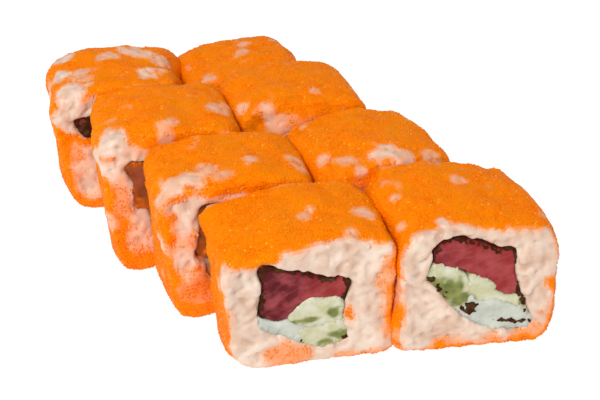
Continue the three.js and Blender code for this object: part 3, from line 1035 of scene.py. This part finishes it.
def roe_material(blotches):
    material, nodes, links, shader = new_material(
        "orange roe", 0.38, subsurface=0.25, radius=(1.0, 0.35, 0.05), scale=0.7 * MM
    )
    marks = use_group(nodes, blotches, Large=9.0, Small=2.5)
    # Each egg has a random tone; the lightest twentieth of them turn pale yellow-orange as a painted
    # glint.
    tone_and_glint = colour_ramp(nodes, [(0.0, (0.85, 0.158, 0.0)), (0.95, (0.88, 0.193, 0.0)),
                               (1.0, (0.94, 0.42, 0.03))])
    links.new(marked(nodes, "tone_and_glint"), tone_and_glint.inputs["Fac"])
    pale = colour_ramp(nodes, [(0.42, (0, 0, 0)), (0.7, (0.7, 0.7, 0.7))])
    links.new(marks.outputs["Mask"], pale.inputs["Fac"])
    top = mix_colour(nodes, links, pale.outputs["Color"], tone_and_glint.outputs["Color"],
                     (0.82, 0.26, 0.0))
    # Painted shade: the roe turns a darker, redder orange low on the slices' sides, blending to the
    # top colour by 24 mm up.
    raised = height_share(nodes, links, 2 * MM, 24 * MM)
    full = mix_colour(nodes, links, raised, (0.82, 0.17, 0.012), top)
    thick = colour_ramp(nodes, [(0.2, (0, 0, 0)), (0.95, (1, 1, 1))])
    links.new(marked(nodes, "cover"), thick.inputs["Fac"])
    colour = mix_colour(nodes, links, thick.outputs["Color"], (0.90, 0.36, 0.12), full)
    links.new(colour, shader.inputs["Base Color"])
    shader.inputs["Specular IOR Level"].default_value = 0.03
    return material


def tuna_material(blotches, smear):
    material, nodes, links, shader = new_material(
        "raw tuna", 0.3, subsurface=0.15, radius=(1.0, 0.25, 0.2), scale=0.8 * MM
    )
    marks = use_group(nodes, blotches, Large=3.4, Small=0.8)
    place = nodes.new("ShaderNodeTexCoord")
    grain = nodes.new("ShaderNodeMapping")
    grain.inputs["Rotation"].default_value = (0.0, math.radians(28), 0.2)
    wave = nodes.new("ShaderNodeTexWave")
    wave.bands_direction = "Z"
    wave.inputs["Scale"].default_value = 0.1 / MM
    wave.inputs["Distortion"].default_value = 9
    wave.inputs["Detail"].default_value = 3
    wave.inputs["Detail Scale"].default_value = 0.9
    links.new(place.outputs["Object"], grain.inputs["Vector"])
    links.new(grain.outputs["Vector"], wave.inputs["Vector"])
    red = colour_ramp(nodes, [(0.0, (0.09, 0.004, 0.008)), (0.5, (0.165, 0.011, 0.015)),
                              (1.0, (0.26, 0.021, 0.020))])
    links.new(marked(nodes, "red"), red.inputs["Fac"])
    # Painted highlight: soft rosy blotches stand in for the pink sheen on the fish.
    rosy_highlight = colour_ramp(nodes, [(0.42, (0, 0, 0)), (0.66, (0.6, 0.6, 0.6))])
    links.new(marks.outputs["Mask"], rosy_highlight.inputs["Fac"])
    mottled = mix_colour(nodes, links, rosy_highlight.outputs["Color"], red.outputs["Color"],
                         (0.40, 0.07, 0.075))
    lines = colour_ramp(nodes, [(0.8, (0, 0, 0)), (1.0, (0.08, 0.08, 0.08))])
    links.new(wave.outputs["Fac"], lines.inputs["Fac"])
    colour = mix_colour(nodes, links, lines.outputs["Color"], mottled, (0.48, 0.17, 0.17))
    links.new(smeared(nodes, links, smear, colour), shader.inputs["Base Color"])
    shader.inputs["Specular IOR Level"].default_value = 0.12
    bump(nodes, links, shader, marks.outputs["Fine"], 0.3, 0.15 * MM)
    return material


def cucumber_material(blotches, smear):
    material, nodes, links, shader = new_material(
        "wet cucumber", 0.3, subsurface=0.25, radius=(0.7, 1.0, 0.4), scale=1.5 * MM
    )
    marks = use_group(nodes, blotches, Large=2.4, Small=0.7)
    flesh = colour_ramp(nodes, [(0.3, (0.46, 0.44, 0.22)), (0.68, (0.60, 0.59, 0.45))])
    links.new(marks.outputs["Mask"], flesh.inputs["Fac"])
    green = colour_ramp(nodes, [(0.3, (0.08, 0.10, 0.008)), (0.65, (0.22, 0.24, 0.035))])
    links.new(marks.outputs["Mask"], green.inputs["Fac"])
    colour = mix_colour(nodes, links, marked(nodes, "skin"), flesh.outputs["Color"],
                        green.outputs["Color"])
    links.new(smeared(nodes, links, smear, colour), shader.inputs["Base Color"])
    bump(nodes, links, shader, marks.outputs["Fine"], 0.2, 0.12 * MM)
    return material


def cheese_material(blotches, smear):
    material, nodes, links, shader = new_material(
        "cream cheese", 0.5, subsurface=0.25, radius=(1.0, 0.95, 0.8), scale=1.5 * MM
    )
    marks = use_group(nodes, blotches, Large=3.0, Small=0.8)
    white = colour_ramp(nodes, [(0.3, (0.42, 0.44, 0.37)), (0.7, (0.57, 0.58, 0.50))])
    links.new(marks.outputs["Mask"], white.inputs["Fac"])
    colour = smeared(nodes, links, smear, white.outputs["Color"])
    links.new(colour, shader.inputs["Base Color"])
    bump(nodes, links, shader, marks.outputs["Fine"], 0.3, 0.15 * MM)
    return material


def nori_material(blotches, smear):
    material, nodes, links, shader = new_material("dark seaweed", 0.5)
    marks = use_group(nodes, blotches, Large=1.5, Small=0.35)
    dark = colour_ramp(nodes, [(0.3, (0.05, 0.007, 0.003)), (0.5, (0.055, 0.016, 0.006)),
                               (0.72, (0.075, 0.054, 0.022))])
    links.new(marks.outputs["Mask"], dark.inputs["Fac"])
    colour = smeared(nodes, links, smear, dark.outputs["Color"])
    links.new(colour, shader.inputs["Base Color"])
    shader.inputs["Specular IOR Level"].default_value = 0.02
    bump(nodes, links, shader, marks.outputs["Fine"], 0.4, 0.15 * MM)
    return material


def finish_piece(piece, material, node=None):
    piece.data.materials.clear()
    piece.data.materials.append(material)
    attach(piece, "root")
    if node:
        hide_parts(node)


def dress_roll():
    blotches = blotch_group()
    smear = smear_group()
    rice_finish = rice_material(blotches)
    roe_finish = roe_material(blotches)
    tuna_finish = tuna_material(blotches, smear)
    cucumber_finish = cucumber_material(blotches, smear)
    cheese_finish = cheese_material(blotches, smear)
    nori_finish = nori_material(blotches, smear)
    grain = make_grain()
    egg = make_egg()
    bead = make_bead()
    names = sorted(n[: -len("_rice")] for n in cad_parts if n.endswith("_rice"))
    for seed, name in enumerate(names, start=1):
        slice_ = Slice(name, seed)
        guide = make_guide(slice_)
        wall, at_cut, coat = measure_guide(slice_, guide)
        rice = make_rice(slice_, guide, grain, wall, at_cut, coat)
        finish_piece(rice, rice_finish, name + "_rice")
        roe = make_roe(slice_, guide, egg, coat)
        tuna = make_tuna(slice_)
        sticks = [make_cucumber(slice_, part) for part in ("cucumber_1", "cucumber_2")]
        cheese = make_cheese(slice_)
        nori = make_nori(slice_, [tuna, *sticks, cheese], bead)
        for filling in (tuna, *sticks, cheese, nori):
            smear_front(slice_, filling)
        finish_piece(roe, roe_finish)
        finish_piece(tuna, tuna_finish, name + "_tuna")
        for number, stick in enumerate(sticks, start=1):
            finish_piece(stick, cucumber_finish, f"{name}_cucumber_{number}")
        finish_piece(cheese, cheese_finish, name + "_cheese")
        finish_piece(nori, nori_finish, name + "_nori")
        bpy.data.objects.remove(guide)
    for thing in (grain, egg, bead):
        bpy.data.objects.remove(thing)


# The studio


def make_floor():
    bpy.ops.object.select_all(action="DESELECT")
    bpy.ops.mesh.primitive_plane_add(size=FLOOR_SIZE)
    floor = bpy.context.object
    floor.name = "floor"
    material, _, _, shader = new_material("pale floor", 0.9)
    shader.inputs["Base Color"].default_value = (FLOOR_GREY, FLOOR_GREY, FLOOR_GREY, 1)
    shader.inputs["Emission Color"].default_value = (1, 1, 1, 1)
    shader.inputs["Emission Strength"].default_value = FLOOR_GLOW
    floor.data.materials.append(material)


def make_key_light():
    light = bpy.data.lights.new("key", "AREA")
    light.size = KEY_SIZE
    light.energy = KEY_POWER
    lamp = bpy.data.objects.new("key", light)
    bpy.context.scene.collection.objects.link(lamp)
    lamp.location = KEY_PLACE
    lamp.rotation_euler = (-Vector(KEY_PLACE)).to_track_quat("-Z", "Y").to_euler()


def make_studio():
    """An even white room with one soft light from the upper left, as in the photo."""
    make_floor()
    world = bpy.data.worlds.new("white room")
    bpy.context.scene.world = world
    world.use_nodes = True
    background = world.node_tree.nodes["Background"]
    background.inputs["Color"].default_value = (1, 1, 1, 1)
    background.inputs["Strength"].default_value = ROOM_LIGHT
    make_key_light()
    bpy.context.scene.view_settings.view_transform = "Standard"


def make_camera():
    azimuth, elevation = CAMERA_AZIMUTH, CAMERA_ELEVATION
    back = Vector((
        math.sin(azimuth) * math.cos(elevation),
        -math.cos(azimuth) * math.cos(elevation),
        math.sin(elevation),
    ))
    camera = bpy.data.objects.new("camera", bpy.data.cameras.new("camera"))
    bpy.context.scene.collection.objects.link(camera)
    camera.data.lens = CAMERA_LENS
    camera.data.clip_start = 0.01
    aim = (-back).to_track_quat("-Z", "Y").to_matrix().to_4x4()
    camera.matrix_world = (
        Matrix.Translation(CAMERA_TARGET + back * CAMERA_DISTANCE)
        @ aim @ Matrix.Rotation(CAMERA_ROLL, 4, "Z")
    )
    bpy.context.scene.camera = camera


make_camera()
make_studio()
dress_roll()
